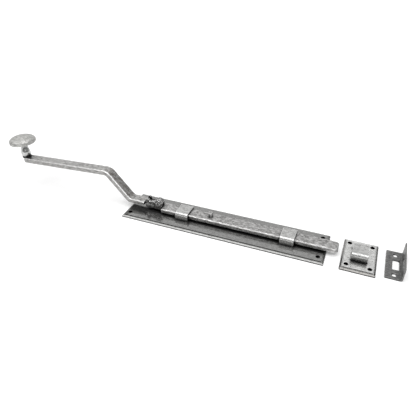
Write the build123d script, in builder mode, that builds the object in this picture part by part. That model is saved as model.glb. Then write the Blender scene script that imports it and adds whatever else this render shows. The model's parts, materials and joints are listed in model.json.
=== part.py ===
from build123d import *
from math import atan2, cos, degrees, sin
import os

# French door bolt with a hinged, cranked handle, its staple keep and its angle keep.
# Millimetres. +X runs along the bar towards its nose, +Z away from the door.
# The origin is the centre of the base plate's back face.

os.makedirs("parts", exist_ok=True)

# Base plate
plate_length = 251.2
plate_width = 55.0
plate_hole_end_inset = 7.4
plate_hole_side_inset = 9.3

# Edge and holes that both plates share
plate_thickness = 3.0
edge_land = 1.0
bevel_width = 1.6
bevel_rise = 1.1
bead_ledge = 0.25
bead_width = 0.9
bead_step = 0.45
screw_hole_diameter = 5.2

# Sliding bar
bar_width = 16.0
bar_thickness = 4.8
bar_gap_over_plate = 2.4
bar_nose_reach = 12.0
bar_nose_radius = 4.2
bar_arris = 0.9

# Straps: the two guides and the keep's staple
strap_gauge = 2.2
strap_side_clearance = 1.3
strap_top_clearance = 0.15
strap_bend_radius = 2.7
strap_arris = 0.35
strap_tenon_shoulder = 2.0
mortise_clearance = 0.05
guide_width = 16.4
rear_guide_inset = 74.8
front_guide_inset = 44.9

# Stop peg
peg_inset = 108.7
peg_offset = 1.2
peg_diameter = 6.0
peg_height = 5.6
peg_spigot_diameter = 4.5
peg_top_radius = 0.9

# Friction spring and its drive pin
spring_inset = 118.6
spring_tab_length = 10.0
spring_bow_length = 60.0
spring_width = 10.0
spring_gauge = 0.8
spring_crown_clearance = 0.2
spring_pin_diameter = 2.4
spring_pin_depth = 3.2
spring_pin_head_diameter = 5.0
spring_pin_head_height = 0.9

# Knuckle: the bar's eye between the handle's two cheeks
pivot_inset = 39.8
pivot_height = 14.0
eye_radius = 4.8
eye_nib_length = 2.0
cheek_thickness = 2.6
cheek_gap = 4.2
cheek_lobe_radius = 5.2
cheek_underside = 6.2
cheek_waist_height = 16.2
cheek_arris = 0.5
horn_distance = 14.2
horn_radius = 3.0
horn_height = 15.8
knuckle_gap = 1.2
pivot_pin_diameter = 4.5
cheek_rivet_diameter = 3.2
cheek_rivet_height = 10.8
cheek_rivet_distances = (13.6, 8.0)

# Fits
fixed_fit = 0.02
running_fit = 0.06
eye_side_clearance = 0.15
stop_clearance = 0.15

# Handle arm
arm_width = 13.6
arm_thickness = 6.9
arm_arris = 0.9
arm_underside = 6.95
arm_shoulder_gap = 1.4
crank_foot_reach = 39.8
crank_run = 30.5
crank_rise = 34.0
upper_run = 130.1
upper_fall = 7.1
crank_bend_radius = 10.0
tip_reach = 4.4
tip_corner_radius = 6.6
tip_underside_radius = 6.0

# Knob
knob_diameter = 34.4
knob_rim_height = 20.9
knob_rim_thickness = 2.5
knob_rim_roundness = 1.2
knob_dome_rise = 6.6
knob_dome_fullness = 0.55
knob_underside_hollow = 0.8
knob_boss_radius = 5.2
post_height = 19.1
post_base_radius = 5.0
post_belly_radius = 6.1
post_belly_height = 5.8
post_neck_radius = 4.0
post_neck_height = 16.2
post_top_radius = 4.9
post_tenon_diameter = 4.8
post_spigot_diameter = 5.0
post_spigot_depth = 4.5
collar_height = 1.6
collar_radius = 5.8

# Staple keep
keep_clearance = 16.6
keep_length = 37.6
keep_width = 55.0
keep_offset = 0.9
keep_hole_end_inset = 6.35
keep_hole_side_inset = 8.1
staple_width = 17.6

# Angle keep
angle_clearance = 8.9
angle_gauge = 1.4
angle_flat_leg = 18.2
angle_upright_leg = 16.4
angle_width = 47.2
angle_offset = 1.6
angle_bend_radius = 1.9
angle_slot_length = 17.0
angle_slot_width = 7.4
angle_slot_corner_inset = 7.6
angle_hole_diameter = 4.4
angle_sink_diameter = 6.2
angle_hole_spacing = 33.8
angle_hole_corner_inset = 8.6

# Heights and places that follow from the sizes above
rear_end = -plate_length / 2
front_end = plate_length / 2
bar_underside = plate_thickness + bar_gap_over_plate
bar_top = bar_underside + bar_thickness
pivot_x = rear_end + pivot_inset
shoulder_x = pivot_x + cheek_lobe_radius + knuckle_gap
nose_x = front_end + bar_nose_reach
peg_x = rear_end + peg_inset
rear_guide_x = rear_end + rear_guide_inset
front_guide_x = front_end - front_guide_inset
cheek_outer = cheek_gap / 2 + cheek_thickness
cheek_rear_x = pivot_x - horn_distance - horn_radius
keep_x = front_end + keep_clearance + keep_length / 2
angle_start_x = front_end + keep_clearance + keep_length + angle_clearance
strap_leg_y = bar_width / 2 + strap_side_clearance + strap_gauge / 2
strap_crown_z = bar_top + strap_top_clearance + strap_gauge / 2


# Plates


def bevelled_plate(center_x, center_y, length, width, hole_end_inset, hole_side_inset, straps):
    """A plate with a stepped bevel, four screw holes, and mortises for the straps riveted to it."""
    back = Plane(origin=(center_x, center_y, 0))
    bead_inset = bevel_width + bead_ledge
    bead_base = edge_land + bevel_rise
    field_inset = bead_inset + bead_width
    with BuildPart() as plate:
        with BuildSketch(back):
            Rectangle(length, width)
        extrude(amount=edge_land)
        with BuildSketch(back.offset(edge_land)):
            Rectangle(length, width)
        extrude(amount=bevel_rise, taper=degrees(atan2(bevel_width, bevel_rise)))
        with BuildSketch(back.offset(bead_base)):
            Rectangle(length - 2 * bead_inset, width - 2 * bead_inset)
        extrude(amount=bead_step)
        with BuildSketch(back.offset(bead_base + bead_step)):
            Rectangle(length - 2 * field_inset, width - 2 * field_inset)
        extrude(amount=plate_thickness - bead_base - bead_step)
        with Locations(back):
            with GridLocations(length - 2 * hole_end_inset, width - 2 * hole_side_inset, 2, 2):
                Hole(screw_hole_diameter / 2)
        for strap_x, strap_width in straps:
            with BuildSketch(Plane(origin=(strap_x, center_y, 0))):
                with GridLocations(0, 2 * strap_leg_y, 1, 2):
                    Rectangle(
                        strap_width - 2 * strap_tenon_shoulder + 2 * mortise_clearance,
                        strap_gauge + 2 * mortise_clearance,
                    )
            extrude(amount=plate_thickness, mode=Mode.SUBTRACT)
    return plate.part


base_plate = bevelled_plate(
    0,
    0,
    plate_length,
    plate_width,
    plate_hole_end_inset,
    plate_hole_side_inset,
    [(rear_guide_x, guide_width), (front_guide_x, guide_width)],
)
keep_plate = bevelled_plate(
    keep_x,
    keep_offset,
    keep_length,
    keep_width,
    keep_hole_end_inset,
    keep_hole_side_inset,
    [(keep_x, staple_width)],
)


# Straps


def strap(center_x, center_y, width):
    """A strap bent over the bar, standing on the plate, with a riveted tenon under each leg."""
    with BuildPart() as bent:
        with BuildSketch(Plane((center_x, center_y, 0), x_dir=(0, 1, 0), z_dir=(1, 0, 0))):
            with BuildLine():
                FilletPolyline(
                    (-strap_leg_y, plate_thickness),
                    (-strap_leg_y, strap_crown_z),
                    (strap_leg_y, strap_crown_z),
                    (strap_leg_y, plate_thickness),
                    radius=strap_bend_radius,
                )
            trace(line_width=strap_gauge)
        extrude(amount=width / 2, both=True)
        sides = bent.faces().filter_by(Axis.X)
        chamfer([edge for side in sides for edge in side.edges().sort_by(Axis.Z)[2:]], strap_arris)
        with BuildSketch(Plane(origin=(center_x, center_y, 0))):
            with GridLocations(0, 2 * strap_leg_y, 1, 2):
                Rectangle(width - 2 * strap_tenon_shoulder, strap_gauge)
        extrude(amount=plate_thickness)
    return bent.part


rear_guide = strap(rear_guide_x, 0, guide_width)
front_guide = strap(front_guide_x, 0, guide_width)
keep_staple = strap(keep_x, keep_offset, staple_width)


# Sliding bar: flat bar with rounded nose corners, and at its tail an eye that stands up between the cheeks

with BuildPart() as bolt_bar:
    with BuildSketch(Plane(origin=(shoulder_x, 0, bar_underside))):
        Rectangle(nose_x - shoulder_x, bar_width, align=(Align.MIN, Align.CENTER))
    extrude(amount=bar_thickness)
    fillet(bolt_bar.edges().filter_by(Axis.Z).group_by(Axis.X)[-1], bar_nose_radius)
    top_edges = bolt_bar.faces().sort_by(Axis.Z)[-1].edges()
    chamfer(top_edges.sort_by(Axis.X)[1:], bar_arris)
    with BuildSketch(Plane.XZ):
        with Locations((pivot_x, pivot_height)):
            Circle(eye_radius)
            Rectangle(eye_nib_length, eye_radius, align=(Align.MIN, Align.MIN))
            Rectangle(2 * eye_radius, pivot_height - bar_underside, align=(Align.CENTER, Align.MAX))
        with Locations((pivot_x - eye_radius, bar_underside)):
            Rectangle(shoulder_x - pivot_x + eye_radius, bar_thickness, align=(Align.MIN, Align.MIN))
    extrude(amount=cheek_gap / 2 - eye_side_clearance, both=True)
    with Locations(Plane.XZ):
        with Locations((pivot_x, pivot_height)):
            Hole(pivot_pin_diameter / 2 + running_fit)
    with Locations((peg_x, peg_offset, bar_top)):
        Hole(peg_spigot_diameter / 2 + fixed_fit)
    spring_pin_x = rear_end + spring_inset + spring_tab_length / 2
    with Locations(Plane(origin=(spring_pin_x, 0, bar_underside), z_dir=(0, 0, -1))):
        Hole(spring_pin_diameter / 2 + fixed_fit, depth=spring_pin_depth)


# Stop peg, riveted through the bar

with BuildPart() as stop_peg:
    with BuildSketch(Plane(origin=(peg_x, peg_offset, bar_underside))):
        Circle(peg_spigot_diameter / 2)
    extrude(amount=bar_thickness)
    with BuildSketch(Plane(origin=(peg_x, peg_offset, bar_top))):
        Circle(peg_diameter / 2)
    extrude(amount=peg_height)
    fillet(stop_peg.faces().sort_by(Axis.Z)[-1].edges(), peg_top_radius)


# Friction spring: a leaf with a flat tab against the bar and a bow that reaches down to the plate

spring_x = rear_end + spring_inset
tab_middle_z = bar_underside - spring_gauge / 2
bow_start_x = spring_x + spring_tab_length
bow_crown_z = plate_thickness + spring_crown_clearance + spring_gauge / 2

with BuildPart() as friction_spring:
    with BuildSketch(Plane.XZ):
        with BuildLine():
            Line((spring_x, tab_middle_z), (bow_start_x, tab_middle_z))
            ThreePointArc(
                (bow_start_x, tab_middle_z),
                (bow_start_x + spring_bow_length / 2, bow_crown_z),
                (bow_start_x + spring_bow_length, tab_middle_z),
            )
        trace(line_width=spring_gauge)
    extrude(amount=spring_width / 2, both=True)
    with Locations((spring_pin_x, 0, bar_underside)):
        Hole(spring_pin_diameter / 2 + fixed_fit)

with BuildPart() as spring_pin:
    with BuildSketch(Plane(origin=(spring_pin_x, 0, bar_underside - spring_gauge))):
        Circle(spring_pin_diameter / 2)
    extrude(amount=spring_gauge + spring_pin_depth - fixed_fit)
    with BuildSketch(Plane(origin=(spring_pin_x, 0, bar_underside - spring_gauge))):
        Circle(spring_pin_head_diameter / 2)
    extrude(amount=-spring_pin_head_height)
    fillet(spring_pin.faces().sort_by(Axis.Z)[0].edges(), spring_pin_head_height / 2)


# Knuckle cheeks: upright plates with a round lobe over the pivot and a smaller horn at the rear


def cheek(inner_y):
    """One cheek, grown outwards from its inner face at inner_y."""
    outward = -1 if inner_y > 0 else 1
    with BuildPart() as plate:
        with BuildSketch(Plane.XZ.offset(-inner_y)):
            with Locations((pivot_x, pivot_height)):
                Circle(cheek_lobe_radius)
                Rectangle(
                    2 * cheek_lobe_radius, pivot_height - cheek_underside, align=(Align.CENTER, Align.MAX)
                )
            with Locations((pivot_x - horn_distance, horn_height)):
                Circle(horn_radius)
                Rectangle(2 * horn_radius, horn_height - cheek_underside, align=(Align.CENTER, Align.MAX))
            with Locations((pivot_x - horn_distance, cheek_underside)):
                Rectangle(
                    horn_distance, cheek_waist_height - cheek_underside, align=(Align.MIN, Align.MIN)
                )
        extrude(amount=outward * cheek_thickness)
        outer_face = plate.faces().filter_by(Axis.Y).sort_by(Axis.Y)[0 if outward > 0 else -1]
        chamfer(outer_face.edges(), cheek_arris)
        with Locations(Plane.XZ):
            with Locations((pivot_x, pivot_height)):
                Hole(pivot_pin_diameter / 2 + fixed_fit)
            with Locations(*[(pivot_x - distance, cheek_rivet_height) for distance in cheek_rivet_distances]):
                Hole(cheek_rivet_diameter / 2 + fixed_fit)
    return plate.part


front_cheek = cheek(-cheek_gap / 2)
rear_cheek = cheek(cheek_gap / 2)


def cross_pin(center_x, center_z, diameter):
    """A pin through both cheeks, riveted flush with their outer faces."""
    with BuildPart() as pin:
        with BuildSketch(Plane.XZ):
            with Locations((center_x, center_z)):
                Circle(diameter / 2)
        extrude(amount=cheek_outer, both=True)
    return pin.part


pivot_pin = cross_pin(pivot_x, pivot_height, pivot_pin_diameter)
cheek_rivets = Compound(
    children=[
        cross_pin(pivot_x - distance, cheek_rivet_height, cheek_rivet_diameter)
        for distance in cheek_rivet_distances
    ]
)


# Handle arm: flat bar, cranked away from the door, with a narrower tongue riveted between the cheeks

arm_middle = arm_underside + arm_thickness / 2
arm_shoulder_x = cheek_rear_x - arm_shoulder_gap
crank_foot = (pivot_x - crank_foot_reach, arm_middle)
crank_head = (crank_foot[0] - crank_run, crank_foot[1] + crank_rise)
knob_foot = (crank_head[0] - upper_run, crank_head[1] - upper_fall)
upper_slope = atan2(upper_fall, upper_run)
arm_tip = (
    knob_foot[0] - tip_reach * cos(upper_slope),
    knob_foot[1] - tip_reach * sin(upper_slope),
)
tongue_nose_x = pivot_x - eye_radius - stop_clearance

# The knob's axis stands square on the arm's sloping upper run
knob_seat = (
    knob_foot[0] - arm_thickness / 2 * sin(upper_slope),
    0,
    knob_foot[1] + arm_thickness / 2 * cos(upper_slope),
)
knob_profile_plane = Plane(
    origin=knob_seat, x_dir=(cos(upper_slope), 0, sin(upper_slope)), z_dir=(0, -1, 0)
)
knob_axis = Axis(knob_seat, (-sin(upper_slope), 0, cos(upper_slope)))
knob_seat_plane = Plane(
    origin=knob_seat,
    x_dir=(cos(upper_slope), 0, sin(upper_slope)),
    z_dir=(-sin(upper_slope), 0, cos(upper_slope)),
)

with BuildPart() as handle_arm:
    with BuildSketch(Plane.XZ):
        with BuildLine():
            FilletPolyline(
                (arm_shoulder_x, arm_middle), crank_foot, crank_head, arm_tip, radius=crank_bend_radius
            )
        trace(line_width=arm_thickness)
    extrude(amount=arm_width / 2, both=True)
    tip_face = handle_arm.faces().sort_by(Axis.X)[0]
    fillet(tip_face.edges().filter_by(Axis.Y).sort_by(Axis.Z)[0], tip_underside_radius)
    sides = handle_arm.faces().filter_by(Axis.Y)
    chamfer([edge for side in sides for edge in side.edges().sort_by(Axis.X)[1:-1]], arm_arris)
    with BuildSketch(knob_seat_plane):
        with Locations((-tip_reach, 0)):
            RectangleRounded(
                2 * (arm_shoulder_x - arm_tip[0]), arm_width, tip_corner_radius, align=(Align.MIN, Align.CENTER)
            )
    extrude(amount=crank_rise + arm_thickness, both=True, mode=Mode.INTERSECT)
    with BuildSketch(Plane.XZ):
        with BuildLine():
            Polyline(
                (arm_shoulder_x, arm_underside),
                (tongue_nose_x, arm_underside),
                (tongue_nose_x, pivot_height + eye_nib_length),
                (arm_shoulder_x, arm_underside + arm_thickness),
                close=True,
            )
        make_face()
    extrude(amount=cheek_gap / 2, both=True)
    with Locations(Plane.XZ):
        with Locations(*[(pivot_x - distance, cheek_rivet_height) for distance in cheek_rivet_distances]):
            Hole(cheek_rivet_diameter / 2 + fixed_fit)
    with Locations(knob_seat_plane):
        Hole(post_tenon_diameter / 2 + fixed_fit)


# Knob: a collar, a turned post riveted through the arm, and a low mushroom head on its spigot

with BuildPart() as knob_collar:
    with BuildSketch(knob_seat_plane):
        Circle(collar_radius)
        Circle(post_tenon_diameter / 2 + fixed_fit, mode=Mode.SUBTRACT)
    extrude(amount=collar_height)

with BuildPart() as knob_post:
    with BuildSketch(knob_profile_plane):
        with BuildLine():
            Polyline(
                (0, post_height + post_spigot_depth),
                (0, -arm_thickness),
                (post_tenon_diameter / 2, -arm_thickness),
                (post_tenon_diameter / 2, collar_height),
                (post_base_radius, collar_height),
            )
            Spline(
                (post_base_radius, collar_height),
                (post_belly_radius, post_belly_height),
                (post_neck_radius, post_neck_height),
                (post_top_radius, post_height),
                tangents=((0.5, 1), (0.9, 1)),
            )
            Polyline(
                (post_top_radius, post_height),
                (post_spigot_diameter / 2, post_height),
                (post_spigot_diameter / 2, post_height + post_spigot_depth),
                (0, post_height + post_spigot_depth),
            )
        make_face()
    revolve(axis=knob_axis)

rim_top = knob_rim_height + knob_rim_thickness
rim_radius = knob_diameter / 2 - knob_rim_roundness

with BuildPart() as knob_head:
    with BuildSketch(knob_profile_plane):
        with BuildLine():
            Line((0, rim_top + knob_dome_rise), (0, post_height))
            Line((0, post_height), (knob_boss_radius, post_height))
            SagittaArc((knob_boss_radius, post_height), (rim_radius, knob_rim_height), knob_underside_hollow)
            CenterArc((rim_radius, knob_rim_height + knob_rim_roundness), knob_rim_roundness, -90, 90)
            Line((knob_diameter / 2, knob_rim_height + knob_rim_roundness), (knob_diameter / 2, rim_top))
            Bezier(
                (knob_diameter / 2, rim_top),
                (knob_diameter / 2, rim_top + knob_dome_fullness * knob_dome_rise),
                (knob_dome_fullness * knob_diameter / 2, rim_top + knob_dome_rise),
                (0, rim_top + knob_dome_rise),
            )
        make_face()
    revolve(axis=knob_axis)
    with Locations(knob_seat_plane.offset(post_height)):
        Cylinder(
            post_spigot_diameter / 2 + fixed_fit,
            post_spigot_depth + fixed_fit,
            align=(Align.CENTER, Align.CENTER, Align.MIN),
            mode=Mode.SUBTRACT,
        )


# Angle keep: a bent plate with a slot in each leg and two countersunk holes in the flat one

angle_corner_x = angle_start_x + angle_flat_leg
slot_middle_x = angle_corner_x - angle_slot_corner_inset

with BuildPart() as angle_keep:
    with BuildSketch(Plane.XZ.offset(-angle_offset)):
        with BuildLine():
            FilletPolyline(
                (angle_start_x, angle_gauge / 2),
                (angle_corner_x - angle_gauge / 2, angle_gauge / 2),
                (angle_corner_x - angle_gauge / 2, angle_upright_leg),
                radius=angle_bend_radius,
            )
        trace(line_width=angle_gauge)
    extrude(amount=angle_width / 2, both=True)
    with BuildSketch(Plane(origin=(slot_middle_x, angle_offset, 0))):
        Rectangle(angle_slot_width, angle_slot_length)
    extrude(amount=angle_gauge, mode=Mode.SUBTRACT)
    with BuildSketch(Plane.YZ.offset(angle_corner_x)):
        with Locations((angle_offset, angle_slot_corner_inset)):
            Rectangle(angle_slot_length, angle_slot_width)
    extrude(amount=-angle_gauge, mode=Mode.SUBTRACT)
    with Locations((angle_corner_x - angle_hole_corner_inset, angle_offset, angle_gauge)):
        with GridLocations(0, angle_hole_spacing, 1, 2):
            CounterSinkHole(angle_hole_diameter / 2, angle_sink_diameter / 2)


pieces = {
    "base_plate": base_plate,
    "rear_guide": rear_guide,
    "front_guide": front_guide,
    "bolt_bar": bolt_bar.part,
    "stop_peg": stop_peg.part,
    "friction_spring": friction_spring.part,
    "spring_pin": spring_pin.part,
    "front_cheek": front_cheek,
    "rear_cheek": rear_cheek,
    "cheek_rivets": cheek_rivets,
    "pivot_pin": pivot_pin,
    "handle_arm": handle_arm.part,
    "knob_collar": knob_collar.part,
    "knob_post": knob_post.part,
    "knob_head": knob_head.part,
    "keep_plate": keep_plate,
    "keep_staple": keep_staple,
    "angle_keep": angle_keep.part,
}

for name, piece in pieces.items():
    piece.label = name
    export_step(piece, f"parts/{name}.step")
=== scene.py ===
import json

import bpy
from mathutils import Matrix, Vector

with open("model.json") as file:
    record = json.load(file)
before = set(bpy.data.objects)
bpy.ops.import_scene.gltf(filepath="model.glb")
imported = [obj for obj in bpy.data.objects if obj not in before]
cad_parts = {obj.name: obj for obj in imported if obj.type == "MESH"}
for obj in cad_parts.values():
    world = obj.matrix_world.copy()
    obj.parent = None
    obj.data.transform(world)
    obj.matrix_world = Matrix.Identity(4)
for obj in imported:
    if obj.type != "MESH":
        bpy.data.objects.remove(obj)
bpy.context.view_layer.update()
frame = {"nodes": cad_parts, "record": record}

# Placing of the photo's camera, in metres in the part's frame
CAMERA_PLACE = (0.13914, -0.40336, 0.3156)
CAMERA_RIGHT = (0.92986, 0.36789, 0.00288)
CAMERA_UP = (-0.20852, 0.52054, 0.82798)
CAMERA_BACK = (0.30311, -0.77051, 0.56075)
CAMERA_LENS = 37.45
CAMERA_SENSOR = 36.0
CAMERA_NEAR = 0.01

# Soft boxes: place, width and height in metres, and watts; each faces the middle of the bolt
MIDDLE = (0.0, 0.0, 0.02)
SOFT_BOXES = {
    "top_light": ((0.0, -0.25, 1.15), (1.7, 1.1), 10.5),
    "front_strip": ((-0.42, -0.92, 1.1), (1.5, 0.3), 2.6),
    "right_strip": ((0.62, -0.95, 0.62), (0.3, 0.5), 1.2),
}

# The room is brightest up and behind to the left, where the white backdrop stands
BACKDROP_WAY = (-0.55, 0.55, 0.7)
BACKDROP_SPAN = (0.35, 0.9)
ROOM_SPAN = (-0.6, 1.0)
ROOM_DIM, ROOM_BRIGHT = 0.3, 0.62
WHITE = (1.0, 1.0, 1.0, 1.0)
BLACK = (0.0, 0.0, 0.0, 1.0)

# The floor glows more from FLOOR_NEAR to FLOOR_FAR, and has a painted black contact shadow where a piece
# stands within CONTACT_REACH
FLOOR_SIDE = 6.0
FLOOR_DROP = 0.0002
FLOOR_SEEN = (0.95, 0.95, 0.95, 1.0)
FLOOR_UNSEEN = (0.8, 0.8, 0.8, 1.0)
FLOOR_GLOW_NEAR, FLOOR_GLOW_FAR = 0.18, 0.6
FLOOR_NEAR, FLOOR_FAR = 0.5, 1.3
CONTACT_REACH = 0.004
CONTACT_SPAN = (0.42, 0.62)

# Patterns of the steel, each with its scale as a share of the finish's grain
CLOUD = dict(scale=0.2, detail=3.0, roughness=0.55, distortion=0.4)
FLECK = dict(scale=1.15, detail=3.0, roughness=0.75, stretch=(0.35, 1.0, 1.0))
PITS = dict(scale=1.6, detail=2.0, roughness=0.5)
BRUSH = dict(scale=1.5, detail=2.0, roughness=0.7, stretch=(0.25, 1.0, 1.0))
PATCHES = dict(scale=0.4, detail=3.0, roughness=0.8)

# Shares of the patterns in the steel's tone and relief
CLOUD_SHARE, FLECK_SHARE, BRUSH_SHARE = 0.08, 0.5, 0.3
FLECK_RELIEF, PIT_RELIEF = 0.7, 0.3

# Values of a pattern where its effect begins and is complete, with the effect's strength or least share
TONE_SPAN = (0.37, 0.51)
PIT_SPAN, PIT_STRENGTH = (0.58, 0.68), 0.55
RUB_SPAN, RUB_LEAST = (0.32, 0.5), 0.55
ROUGH_SPAN = (0.3, 0.7)
PATCH_SPAN = (0.42, 0.58)

PIT_COLOR = (0.05, 0.047, 0.043)
# Colours of the painted shade in corners and under things, and in screw holes
CORNER_SHADE_COLOR = (0.004, 0.004, 0.004)
BORE_SHADE_COLOR = (0.0, 0.0, 0.0)

# Reach of the painted shade in screw holes in metres, and the openness where it begins and is complete
BORE_REACH, BORE_CLEAR, BORE_FULL = 0.006, 0.93, 0.78

# How much less rough a rubbed edge is, and the share of an arris's painted highlight on a level stretch
WORN_SMOOTHER = 0.12
FLAT_ARRIS = 0.35

# How far a face looks along one of its piece's axes: hardly and clearly, then where it slopes, where it is
# an arris, and where a level stretch turns into a climb
FACING_SPAN = (0.2, 0.5)
SLOPE_SPAN = (0.3, 0.55, 0.85, 0.97)
ARRIS_SPAN = (0.3, 0.5, 0.85, 0.97)
CLIMB_SPAN = (0.1, 0.35)

# How well the rounded normal agrees with the face, where it is flat and where it is a rubbed edge
EDGE_SPAN = (0.995, 0.90)

EDGE_SAMPLES, CORNER_SAMPLES, CONTACT_SAMPLES = 6, 6, 12

# Finishes. dark, light and bright are the colours of low patina, open metal and rubbed edges, bright also
# of the painted arris highlights; smooth and rough bound the roughness; grain is in features per metre;
# bump, wear and reach are the depth of the relief, the width of the rubbed edges and the reach of the
# painted shade in corners in metres; corner_shade is its strength, and clear and full are the openness
# where it begins and is complete.
# bores, slopes, sides and arris are the strength of the painted shade in screw holes, of the painted light
# and shade of slope_color on sloping faces (in flecks by slope_flecks), of the painted shade of low patina
# on upright sides and of the painted highlight on the arrises.
FINISHES = {
    "patina_steel": dict(
        dark=(0.18, 0.177, 0.173), light=(0.59, 0.585, 0.58), bright=(0.9, 0.9, 0.9),
        smooth=0.30, rough=0.46, grain=640.0, bump=0.00035, wear=0.0006, corner_shade=0.95, reach=0.007,
        arris=0.5,
    ),
    "arm_steel": dict(
        dark=(0.2, 0.196, 0.19), light=(0.58, 0.575, 0.565), bright=(0.95, 0.95, 0.95),
        smooth=0.24, rough=0.38, grain=640.0, bump=0.00045, wear=0.0009, corner_shade=0.95, reach=0.014,
        slopes=0.66, slope_color=(0.12, 0.098, 0.084), slope_flecks=1.0, sides=0.4, arris=0.85,
    ),
    "knuckle_steel": dict(
        dark=(0.045, 0.044, 0.042), light=(0.19, 0.188, 0.184), bright=(1.0, 1.0, 1.0),
        smooth=0.2, rough=0.34, grain=700.0, bump=0.0004, wear=0.0012, corner_shade=1.0, reach=0.01,
    ),
    "plate_steel": dict(
        dark=(0.24, 0.24, 0.236), light=(0.32, 0.32, 0.315), bright=(0.4, 0.4, 0.39),
        smooth=0.11, rough=0.2, grain=560.0, bump=0.00003, wear=0.0003, corner_shade=1.0, reach=0.006,
        clear=0.9, full=0.55, bores=1.0,
    ),
    "guide_steel": dict(
        dark=(0.38, 0.38, 0.375), light=(0.59, 0.59, 0.58), bright=(1.0, 1.0, 1.0),
        smooth=0.18, rough=0.30, grain=460.0, bump=0.0001, wear=0.0009, corner_shade=0.85, reach=0.005,
        slopes=0.1,
    ),
    "staple_steel": dict(
        dark=(0.40, 0.40, 0.395), light=(0.6, 0.6, 0.59), bright=(1.0, 1.0, 1.0),
        smooth=0.18, rough=0.30, grain=460.0, bump=0.0001, wear=0.0007, corner_shade=1.0, reach=0.01,
        clear=0.95, full=0.6,
    ),
    "keep_steel": dict(
        dark=(0.55, 0.55, 0.54), light=(0.75, 0.75, 0.74), bright=(0.8, 0.8, 0.79),
        smooth=0.16, rough=0.28, grain=520.0, bump=0.00006, wear=0.0003, corner_shade=1.0, reach=0.006,
        clear=0.93, full=0.6, bores=1.0, slopes=0.7, slope_color=(0.075, 0.066, 0.058),
    ),
    "bright_steel": dict(
        dark=(0.42, 0.425, 0.42), light=(0.6, 0.605, 0.6), bright=(0.95, 0.95, 0.95),
        smooth=0.08, rough=0.16, grain=500.0, bump=0.00006, wear=0.0004, corner_shade=1.0, reach=0.012,
    ),
    "knob_steel": dict(
        dark=(0.36, 0.358, 0.345), light=(0.57, 0.568, 0.552), bright=(0.85, 0.85, 0.84),
        smooth=0.46, rough=0.6, grain=420.0, bump=0.0003, wear=0.0004, corner_shade=0.8, reach=0.012,
        clear=0.85, full=0.4,
    ),
    "spring_steel": dict(
        dark=(0.22, 0.23, 0.25), light=(0.36, 0.37, 0.4), bright=(0.6, 0.6, 0.62),
        smooth=0.3, rough=0.45, grain=500.0, bump=0.00008, wear=0.0003, corner_shade=0.8,
    ),
    # Nearly black: painted shade and painted dark reflection at the foot of the knob's post
    "collar_shade_steel": dict(
        dark=(0.015, 0.015, 0.015), light=(0.05, 0.05, 0.05), bright=(0.2, 0.2, 0.2),
        smooth=0.34, rough=0.5, grain=600.0, bump=0.0002, wear=0.0002, corner_shade=0.9, metallic=0.5,
    ),
    "dark_steel": dict(
        dark=(0.1, 0.1, 0.1), light=(0.215, 0.215, 0.21), bright=(0.45, 0.45, 0.45),
        smooth=0.34, rough=0.5, grain=600.0, bump=0.0002, wear=0.0003, corner_shade=0.7, metallic=0.6,
    ),
}

# Pieces whose finish differs a little from that of their slot
SPECIAL_FINISH = {
    "handle_arm": "arm_steel",
    "knob_collar": "collar_shade_steel",
    "keep_plate": "keep_steel",
    "keep_staple": "staple_steel",
    "front_cheek": "knuckle_steel",
    "rear_cheek": "knuckle_steel",
    "cheek_rivets": "knuckle_steel",
    "pivot_pin": "knuckle_steel",
}


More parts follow.
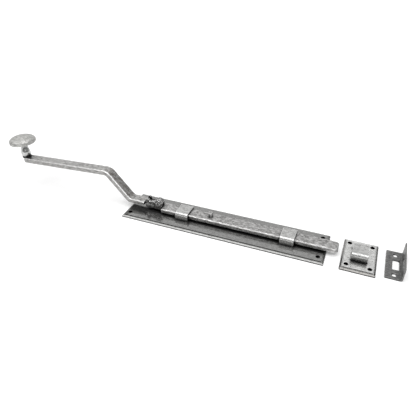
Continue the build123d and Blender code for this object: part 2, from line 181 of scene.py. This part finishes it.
class Graph:
    """Builds a node graph."""

    def __init__(self, tree, out_kind):
        self.tree = tree
        self.tree.nodes.clear()
        self.out = self.tree.nodes.new(out_kind)
        self.place = self.tree.nodes.new("ShaderNodeTexCoord").outputs

    def node(self, kind, inputs=None, **settings):
        made = self.tree.nodes.new(kind)
        for key, value in settings.items():
            setattr(made, key, value)
        for key, value in (inputs or {}).items():
            if isinstance(value, bpy.types.NodeSocket):
                self.tree.links.new(value, made.inputs[key])
            else:
                made.inputs[key].default_value = value
        return made

    def noise(self, grain, scale, detail, roughness, distortion=0.0, stretch=None):
        """A pattern that rides on the piece, stretched along the bolt where it is drawn."""
        place = self.place["Object"]
        if stretch:
            mapping = self.node("ShaderNodeMapping", {"Vector": place, "Scale": stretch})
            place = mapping.outputs["Vector"]
        made = self.node(
            "ShaderNodeTexNoise",
            {
                "Vector": place,
                "Scale": grain * scale,
                "Detail": detail,
                "Roughness": roughness,
                "Distortion": distortion,
            },
        )
        return made.outputs["Fac"]

    def span(self, value, low, high, to_low=0.0, to_high=1.0, smooth=True):
        made = self.node(
            "ShaderNodeMapRange",
            {
                "Value": value,
                "From Min": low,
                "From Max": high,
                "To Min": to_low,
                "To Max": to_high,
            },
            interpolation_type="SMOOTHSTEP" if smooth else "LINEAR",
        )
        return made.outputs["Result"]

    def math(self, operation, first, second=0.0, clamp=False):
        made = self.node(
            "ShaderNodeMath", {0: first, 1: second}, operation=operation, use_clamp=clamp
        )
        return made.outputs["Value"]

    def mix(self, factor, first, second):
        """Mixes two colours."""
        made = self.tree.nodes.new("ShaderNodeMix")
        made.data_type = "RGBA"
        for index, value in ((0, factor), (6, first), (7, second)):
            if isinstance(value, bpy.types.NodeSocket):
                self.tree.links.new(value, made.inputs[index])
            else:
                made.inputs[index].default_value = (*value, 1.0)
        return made.outputs[2]

    def mix_shaders(self, factor, first, second):
        made = self.node("ShaderNodeMixShader", {0: factor, 1: first, 2: second})
        return made.outputs[0]

    def edge_wear(self, radius):
        """1 on the edges, 0 on flat faces."""
        bevel = self.node("ShaderNodeBevel", {"Radius": radius}, samples=EDGE_SAMPLES)
        flat = self.node("ShaderNodeNewGeometry").outputs["Normal"]
        dot = self.node(
            "ShaderNodeVectorMath", {0: bevel.outputs["Normal"], 1: flat}, operation="DOT_PRODUCT"
        )
        return self.span(dot.outputs["Value"], *EDGE_SPAN)

    def openness(self, distance, samples):
        """1 on open faces, less where something stands near."""
        made = self.node("ShaderNodeAmbientOcclusion", {"Distance": distance}, samples=samples)
        return made.outputs["AO"]

    def crevice(self, distance, clear, full):
        """1 in corners, gaps and under things, where the painted shade goes, 0 on open faces."""
        return self.span(self.openness(distance, CORNER_SAMPLES), clear, full)

    def facing(self, axis):
        """How far the face looks along one of the piece's own axes, which turn with it."""
        part = self.node("ShaderNodeSeparateXYZ", {"Vector": self.place["Normal"]}).outputs[axis]
        return self.math("ABSOLUTE", part)

    def between(self, axis, low, low_full, high_full, high):
        """1 where the face looks partly along the axis, 0 where it does fully or not at all."""
        return self.math(
            "MULTIPLY",
            self.span(self.facing(axis), low, low_full),
            self.span(self.facing(axis), high_full, high, 1.0, 0.0),
        )


def material_graph(name):
    material = bpy.data.materials.new(name)
    material.use_nodes = True
    return material, Graph(material.node_tree, "ShaderNodeOutputMaterial")


def worn_steel(
    name, dark, light, bright, smooth, rough, grain, bump, wear, corner_shade,
    metallic=0.9, reach=0.003, clear=0.9, full=0.5, bores=0.0,
    slopes=0.0, slope_color=(1.0, 1.0, 1.0), slope_flecks=0.0, sides=0.0, arris=0.0,
):
    """Patinated steel: cloudy mottling, drawn grain and bright worn edges, with painted shade in corners,
    holes and on upright sides, painted light and shade on slopes and painted highlights on arrises.
    """
    material, g = material_graph(name)
    cloud = g.noise(grain, **CLOUD)
    fleck = g.noise(grain, **FLECK)
    pits = g.noise(grain, **PITS)
    brush = g.noise(grain, **BRUSH)
    tone = g.math(
        "ADD", g.math("MULTIPLY", cloud, CLOUD_SHARE), g.math("MULTIPLY", fleck, FLECK_SHARE)
    )
    tone = g.math("ADD", tone, g.math("MULTIPLY", brush, BRUSH_SHARE))
    color = g.mix(g.span(tone, *TONE_SPAN), dark, light)
    color = g.mix(g.span(pits, *PIT_SPAN, 0.0, PIT_STRENGTH), color, PIT_COLOR)
    rubbed = g.math("MULTIPLY", g.edge_wear(wear), g.span(fleck, *RUB_SPAN, RUB_LEAST, 1.0))
    color = g.mix(rubbed, color, bright)
    if sides:
        # Painted shade: the upright sides are made darker, towards the low patina colour
        color = g.mix(g.span(g.facing("Z"), *FACING_SPAN, sides, 0.0), color, dark)
    if slopes:
        # Painted light and shade: sloping faces and bends are made brighter or darker by slope_color, in
        # flecks by slope_flecks
        leaning = g.between("Z", *SLOPE_SPAN)
        lengthwise = g.span(g.facing("Y"), *FACING_SPAN, 1.0, 1.0 - slope_flecks)
        leaning = g.math("MULTIPLY", leaning, lengthwise)
        patches = g.noise(grain, **PATCHES)
        share = g.span(patches, *PATCH_SPAN, slopes * (1.0 - slope_flecks), slopes)
        color = g.mix(g.math("MULTIPLY", leaning, share), color, slope_color)
    # Painted shade: near black in corners, gaps and under things, where something stands near
    color = g.mix(g.math("MULTIPLY", g.crevice(reach, clear, full), corner_shade), color, CORNER_SHADE_COLOR)
    if arris:
        # Painted highlight: the arrises along the bar, which face partly front or back, are made bright,
        # most of all on the arm's slope
        edge = g.between("Y", *ARRIS_SPAN)
        share = g.span(g.facing("X"), *CLIMB_SPAN, arris * FLAT_ARRIS, arris)
        color = g.mix(g.math("MULTIPLY", edge, share), color, bright)
    if bores:
        # Painted shade: the walls of the screw holes are made dark
        upright = g.span(g.facing("Z"), *FACING_SPAN, bores, 0.0)
        sunk = g.crevice(BORE_REACH, BORE_CLEAR, BORE_FULL)
        color = g.mix(g.math("MULTIPLY", upright, sunk), color, BORE_SHADE_COLOR)
    roughness = g.span(fleck, *ROUGH_SPAN, rough, smooth)
    worn = g.math("MULTIPLY", rubbed, WORN_SMOOTHER)
    roughness = g.math("SUBTRACT", roughness, worn, clamp=True)
    height = g.math(
        "ADD", g.math("MULTIPLY", fleck, FLECK_RELIEF), g.math("MULTIPLY", pits, PIT_RELIEF)
    )
    relief = g.node("ShaderNodeBump", {"Strength": 1.0, "Distance": bump, "Height": height})
    shader = g.node(
        "ShaderNodeBsdfPrincipled",
        {
            "Base Color": color,
            "Metallic": metallic,
            "Roughness": roughness,
            "Normal": relief.outputs["Normal"],
        },
    )
    g.tree.links.new(shader.outputs["BSDF"], g.out.inputs["Surface"])
    return material


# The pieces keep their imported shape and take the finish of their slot
materials = {name: worn_steel(name, **finish) for name, finish in FINISHES.items()}
finish_of = {entry["node"]: entry["material_slot"] for entry in frame["record"]["subparts"]}
finish_of.update(SPECIAL_FINISH)
for name, piece in frame["nodes"].items():
    for slot in piece.material_slots:
        slot.material = materials[finish_of[name]]


def soft_box(name, place, size, watts):
    """A rectangular light that faces the middle of the bolt."""
    data = bpy.data.lights.new(name, "AREA")
    data.shape = "RECTANGLE"
    data.size, data.size_y = size
    data.energy = watts
    light = bpy.data.objects.new(name, data)
    light.location = place
    toward_middle = Vector(MIDDLE) - Vector(place)
    light.rotation_euler = toward_middle.to_track_quat("-Z", "Y").to_euler()
    bpy.context.scene.collection.objects.link(light)


for name, (place, size, watts) in SOFT_BOXES.items():
    soft_box(name, place, size, watts)

# The metal sees the white backdrop where it stands; the camera sees it all round
world = bpy.data.worlds.new("studio")
world.use_nodes = True
g = Graph(world.node_tree, "ShaderNodeOutputWorld")
path = g.node("ShaderNodeLightPath").outputs
way = g.node(
    "ShaderNodeVectorMath", {0: g.place["Generated"], 1: BACKDROP_WAY}, operation="DOT_PRODUCT"
).outputs["Value"]
room_tone = g.span(way, *ROOM_SPAN, ROOM_DIM, ROOM_BRIGHT, smooth=False)
backdrop = g.span(way, *BACKDROP_SPAN, smooth=False)
mirrored = g.math("MULTIPLY", path["Is Glossy Ray"], backdrop)
seen = g.math("MAXIMUM", path["Is Camera Ray"], mirrored)
room = g.node("ShaderNodeBackground", {"Color": room_tone}).outputs[0]
white = g.node("ShaderNodeBackground", {"Color": WHITE}).outputs[0]
g.tree.links.new(g.mix_shaders(seen, room, white), g.out.inputs["Surface"])
bpy.context.scene.world = world

# Pale floor, seen white, with a soft shadow from the lamps and a painted black contact shadow where the
# pieces stand near it
bpy.ops.mesh.primitive_plane_add(size=FLOOR_SIDE, location=(0.0, 0.0, -FLOOR_DROP))
floor = bpy.context.object
floor.name = "floor"
material, g = material_graph("floor")
away = g.node("ShaderNodeVectorMath", {0: g.place["Object"]}, operation="LENGTH")
glow = g.span(away.outputs["Value"], FLOOR_NEAR, FLOOR_FAR, FLOOR_GLOW_NEAR, FLOOR_GLOW_FAR)
lift = g.node("ShaderNodeEmission", {"Color": WHITE, "Strength": glow}).outputs[0]
pale = g.node("ShaderNodeBsdfDiffuse", {"Color": FLOOR_SEEN}).outputs[0]
lifted = g.node("ShaderNodeAddShader", {0: pale, 1: lift}).outputs[0]
# Painted contact shadow: black where a piece stands near
painted_contact_shadow = g.node("ShaderNodeBsdfDiffuse", {"Color": BLACK}).outputs[0]
open_sky = g.span(g.openness(CONTACT_REACH, CONTACT_SAMPLES), *CONTACT_SPAN)
watched = g.mix_shaders(open_sky, painted_contact_shadow, lifted)
unwatched = g.node("ShaderNodeBsdfDiffuse", {"Color": FLOOR_UNSEEN}).outputs[0]
path = g.node("ShaderNodeLightPath").outputs
seen = g.math("MAXIMUM", path["Is Camera Ray"], path["Is Glossy Ray"])
g.tree.links.new(g.mix_shaders(seen, unwatched, watched), g.out.inputs["Surface"])
floor.data.materials.append(material)

camera_data = bpy.data.cameras.new("camera")
camera_data.lens = CAMERA_LENS
camera_data.sensor_width = CAMERA_SENSOR
camera_data.clip_start = CAMERA_NEAR
camera = bpy.data.objects.new("camera", camera_data)
axes = Matrix((CAMERA_RIGHT, CAMERA_UP, CAMERA_BACK)).transposed().to_4x4()
camera.matrix_world = Matrix.Translation(CAMERA_PLACE) @ axes
bpy.context.scene.collection.objects.link(camera)
bpy.context.scene.camera = camera
bpy.context.scene.view_settings.view_transform = "Standard"
